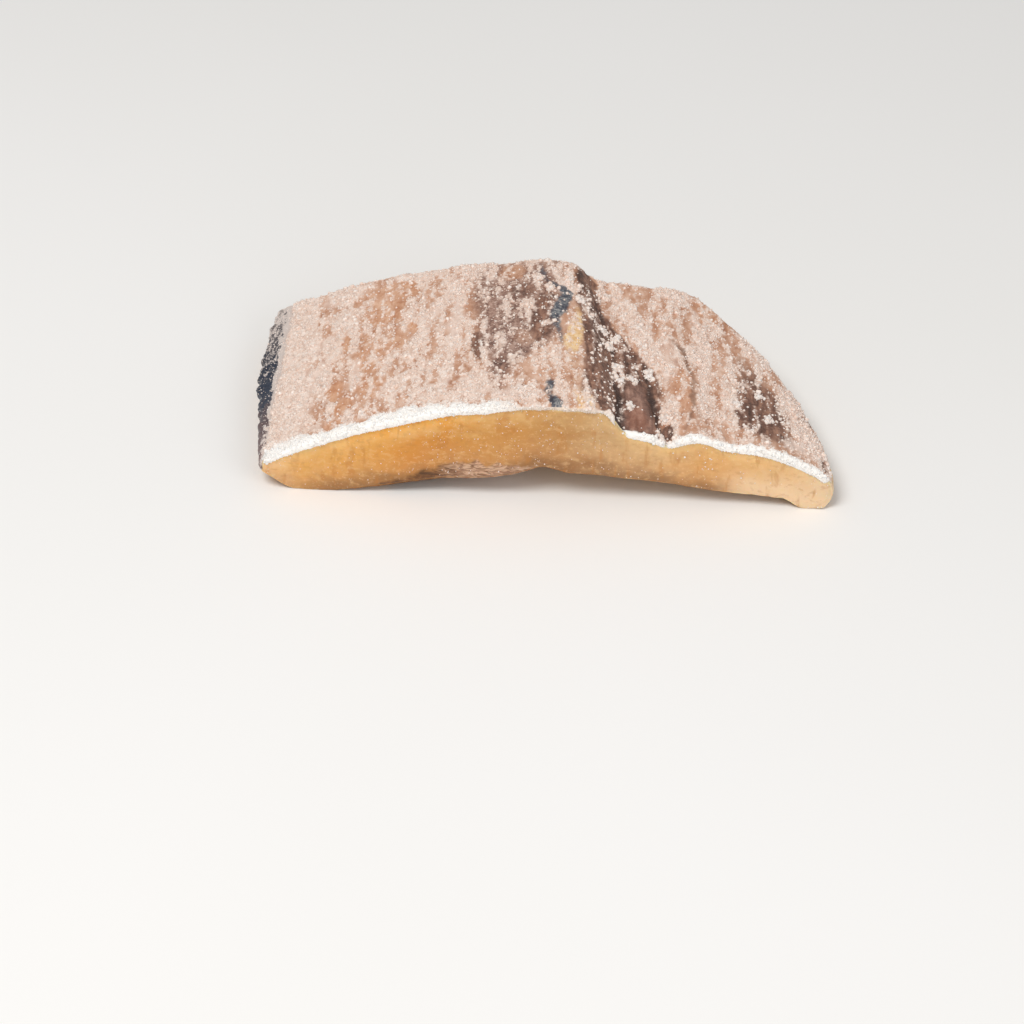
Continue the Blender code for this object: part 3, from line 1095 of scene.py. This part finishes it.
def crystal():
    grain = cube_grain()
    bmesh.ops.bevel(
        grain,
        geom=grain.edges[:],
        offset=0.2,
        offset_type="OFFSET",
        segments=1,
        profile=0.5,
        affect="EDGES",
        material=-1,
    )
    return grain


def speck():
    grain = bmesh.new()
    bmesh.ops.create_icosphere(grain, subdivisions=1, radius=0.5)
    return grain


def spots_on(mesh, count, weight_of, draws):
    """Places, normals and vertices picked at random over the mesh, more where the weight is high."""
    mesh.calc_loop_triangles()
    corners = np.zeros(len(mesh.loop_triangles) * 3, np.int32)
    mesh.loop_triangles.foreach_get("vertices", corners)
    corners = corners.reshape(-1, 3)
    places, normals = places_of(mesh)
    first, second, third = (places[corners[:, i]] for i in range(3))
    cross = np.cross(second - first, third - first)
    area = 0.5 * np.linalg.norm(cross, axis=1)
    weight = area * weight_of[corners].mean(axis=1)
    picked = draws.choice(len(area), size=count, p=weight / weight.sum())
    a = draws.random(count)
    b = draws.random(count)
    over = a + b > 1.0
    a[over] = 1.0 - a[over]
    b[over] = 1.0 - b[over]
    a = a[:, None]
    b = b[:, None]
    spots = first[picked] * (1 - a - b) + second[picked] * a + third[picked] * b
    nearest = corners[picked, 0]
    return spots, normals[nearest], nearest


def random_turns(count, draws):
    """So many random turns, as matrices."""
    q = draws.normal(size=(count, 4))
    q /= np.linalg.norm(q, axis=1)[:, None]
    w, x, y, z = q.T
    rows = [
        [1 - 2 * (y * y + z * z), 2 * (x * y - z * w), 2 * (x * z + y * w)],
        [2 * (x * y + z * w), 1 - 2 * (x * x + z * z), 2 * (y * z - x * w)],
        [2 * (x * z - y * w), 2 * (y * z + x * w), 1 - 2 * (x * x + y * y)],
    ]
    return np.stack([np.stack(row, axis=1) for row in rows], axis=1)


def joined_grains(name, grain, spots, normals, sizes, draws):
    """One mesh that holds a turned and scaled copy of the grain at each spot."""
    grain.verts.ensure_lookup_table()
    shape = np.array([vertex.co[:] for vertex in grain.verts])
    rings = [[vertex.index for vertex in face.verts] for face in grain.faces]
    grain.free()
    count = len(spots)
    turns = random_turns(count, draws)
    stretches = sizes[:, None] * draws.uniform(0.7, 1.2, (count, 3))
    bodies = shape[None, :, :] * stretches[:, None, :]
    bodies = np.einsum("nij,nkj->nki", turns, bodies)
    bodies += (spots + normals * (sizes * GRAIN_LIFT)[:, None])[:, None, :]

    corner_total = sum(len(ring) for ring in rings)
    ring_starts = np.cumsum([0] + [len(ring) for ring in rings[:-1]])
    ring_corners = np.concatenate([np.array(ring) for ring in rings])
    offsets = np.arange(count)[:, None]
    mesh = bpy.data.meshes.new(name)
    mesh.vertices.add(count * len(shape))
    mesh.vertices.foreach_set("co", bodies.reshape(-1))
    mesh.loops.add(count * corner_total)
    mesh.loops.foreach_set("vertex_index", (ring_corners[None, :] + offsets * len(shape)).ravel())
    mesh.polygons.add(count * len(rings))
    mesh.polygons.foreach_set("loop_start", (ring_starts[None, :] + offsets * corner_total).ravel())
    mesh.update(calc_edges=True)
    return mesh


def values_of(mesh, name):
    values = np.zeros(len(mesh.vertices), np.float32)
    mesh.attributes[name].data.foreach_get("value", values)
    return values.astype(float)


def add_grains(name, grain, groups, middle_size, spread, limits, material, draws):
    """Shows one kind of grain at the spots of several groups. Each group brings the whiteness of
    the vertices that its spots lie near."""
    spots = np.concatenate([group[0][0] for group in groups])
    ways = np.concatenate([group[0][1] for group in groups])
    tints = np.concatenate([group[1][group[0][2]] for group in groups])
    sizes = np.clip(draws.lognormal(math.log(middle_size), spread, len(spots)), *limits) * MM
    mesh = joined_grains(name, grain, spots, ways, sizes, draws)
    paint(mesh, "tint", np.repeat(tints, len(mesh.vertices) // len(spots)))
    finish_piece(name, mesh, material)


def lump_field(places):
    """1 at the places where big crystals have grown together, fading out around them."""
    x = (places[:, 0] - MIDDLE.x) / MM
    y = (places[:, 1] - MIDDLE.y) / MM
    field = np.zeros_like(x)
    for across, along in SALT_LUMPS:
        field = np.maximum(field, hump(np.hypot(x - across, (y - along) / 1.5), 1.4))
    return field


def add_salt(skin, flesh, lining):
    """Salt on the skin and its rim, on the lining and thinly on the flesh."""
    draws = np.random.default_rng(SEED)
    material = salt_finish()
    places, normals = places_of(skin)
    facing = np.clip(normals[:, 2] * 1.4, 0.0, 1.0)
    salt = values_of(skin, "salt")
    crust = values_of(skin, "crust")
    dark = values_of(skin, "dark")
    clear = 1.0 - 0.88 * values_of(skin, "bare")
    clear *= (1.0 - 0.45 * values_of(skin, "blue")) * (1.0 - 0.2 * values_of(skin, "scar"))
    clear *= 1.0 - 0.45 * values_of(skin, "tan")
    clear = clear * facing
    white = values_of(skin, "white")
    rim = values_of(skin, "edge") * (0.3 + 0.7 * white)
    lumps = lump_field(places) * facing
    whiteness = np.clip(np.maximum(values_of(skin, "bank"), values_of(skin, "edge")) * white, 0.0, 1.0)
    whiteness = np.maximum(whiteness, 0.35 * dark)
    beside_lining = hump(places[:, 0] - left_rim(places[:, 1]), 2.2 * MM)

    weight = clear * (0.25 + crust) * (0.4 + salt) * (1.0 - 0.5 * dark) + 0.4 * rim + 0.8 * lumps
    weight += beside_lining
    groups = [(spots_on(skin, 16000, weight, draws), whiteness)]
    add_grains("fine_salt", cube_grain(), groups, 0.36, 0.34, (0.2, 0.9), material, draws)

    weight = clear * (0.15 + crust) * (0.35 + 0.4 * salt + 0.15 * dark) + 1.2 * lumps
    groups = [(spots_on(skin, 3600, weight, draws), whiteness)]
    add_grains("salt_crystals", crystal(), groups, 0.68, 0.3, (0.4, 1.4), material, draws)

    weight = lumps**2 + 0.012 * clear * crust * (0.3 + dark)
    groups = [(spots_on(skin, 560, weight, draws), whiteness)]
    add_grains("coarse_salt", crystal(), groups, 1.2, 0.25, (0.8, 1.9), material, draws)

    flesh_weight = 0.6 * values_of(flesh, "cut") + 0.25 * values_of(flesh, "below")
    flesh_x = (places_of(flesh)[0][:, 0] - MIDDLE.x) / MM
    for middle in FLESH_SPECKS:
        flesh_weight += 2.0 * values_of(flesh, "cut") * hump(flesh_x - middle, 3.0)
    lining_places, lining_normals = places_of(lining)
    back = ease(FRONT_CUT, BACK_CUT, lining_places[:, 1])
    upward = np.clip(lining_normals[:, 2] + 0.3, 0, 1)
    lining_weight = (0.12 + 0.5 * back + 1.2 * values_of(lining, "seam")) * upward
    groups = [
        (spots_on(flesh, 1300, flesh_weight, draws), np.full(len(flesh.vertices), 0.4)),
        (spots_on(skin, 3000, rim, draws), whiteness),
        (spots_on(lining, 800, lining_weight, draws), np.full(len(lining.vertices), 0.2)),
    ]
    add_grains("salt_dust", speck(), groups, 0.34, 0.3, (0.18, 0.8), material, draws)


# Floor, light and camera


def add_floor():
    block = bmesh.new()
    bmesh.ops.create_grid(block, x_segments=1, y_segments=1, size=6.0)
    mesh = to_mesh(block, "floor")
    floor_finish = Finish("floor")
    cloud = floor_finish.mottle((0.4, 0.4, 0.4), 2.0, 0.5)
    tone = floor_finish.shades(cloud, (0.3, (243, 242, 240)), (0.7, (246, 245, 244)))
    mesh.materials.append(floor_finish.wear(Base_Color=tone, Roughness=0.8, Specular_IOR_Level=0.2))
    floor = bpy.data.objects.new("floor", mesh)
    bpy.context.scene.collection.objects.link(floor)


def add_light(name, place, size, power, colour):
    lamp = bpy.data.lights.new(name, "AREA")
    lamp.shape = "DISK"
    lamp.size = size
    lamp.energy = power
    lamp.color = colour
    light = bpy.data.objects.new(name, lamp)
    light.location = place
    light.rotation_euler = (MIDDLE - Vector(place)).to_track_quat("-Z", "Y").to_euler()
    bpy.context.scene.collection.objects.link(light)


def add_studio():
    add_floor()
    add_light("key_light", (-0.55, -0.7, 1.45), 0.8, 16.0, (1.0, 0.985, 0.96))
    add_light("fill_light", (0.9, -1.0, 0.8), 0.9, 4.0, (1.0, 0.99, 0.98))
    world = bpy.data.worlds.new("soft_room")
    bpy.context.scene.world = world
    world.use_nodes = True
    world.node_tree.nodes["Background"].inputs["Color"].default_value = (1.0, 1.0, 1.0, 1.0)
    world.node_tree.nodes["Background"].inputs["Strength"].default_value = 0.42
    settings = bpy.context.scene.view_settings
    settings.view_transform = "Standard"
    settings.look = "None"
    settings.exposure = 0.0
    settings.gamma = 1.0


CAMERA_RAISE = math.radians(37.0)
CAMERA_ROLL = math.radians(2.2)
CAMERA_DISTANCE = 1.1
CAMERA_LENS = 107.9
AIM_RIGHT = 11.65 * MM  # how far the piece lies right of the picture's middle
AIM_UP = 48.03 * MM  # and above it


def add_camera():
    data = bpy.data.cameras.new("camera")
    data.lens = CAMERA_LENS
    data.sensor_width = 36.0
    data.clip_start = 0.01
    data.clip_end = 50.0
    camera = bpy.data.objects.new("camera", data)
    ahead = Vector((0.0, math.cos(CAMERA_RAISE), -math.sin(CAMERA_RAISE)))
    right = Vector((1.0, 0.0, 0.0))
    up = right.cross(ahead)
    rolled_right = right * math.cos(CAMERA_ROLL) + up * math.sin(CAMERA_ROLL)
    rolled_up = up * math.cos(CAMERA_ROLL) - right * math.sin(CAMERA_ROLL)
    body = Vector((MIDDLE.x, MIDDLE.y, 0.47 * cad_high.z))
    aim = body - rolled_right * AIM_RIGHT - rolled_up * AIM_UP
    place = aim - ahead * CAMERA_DISTANCE
    turn = Matrix((rolled_right, rolled_up, -ahead)).transposed()
    camera.matrix_world = Matrix.Translation(place) @ turn.to_4x4()
    bpy.context.scene.collection.objects.link(camera)
    bpy.context.scene.camera = camera


skin = skin_mesh()
flesh = flesh_mesh()
lining = lining_mesh()
add_salt(skin, flesh, lining)
flesh_piece = finish_piece("cut_flesh", flesh, flesh_finish())
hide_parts(NODE)
finish_piece("salted_skin", skin, skin_finish())
finish_piece("dark_lining", lining, lining_finish())
add_studio()
add_camera()
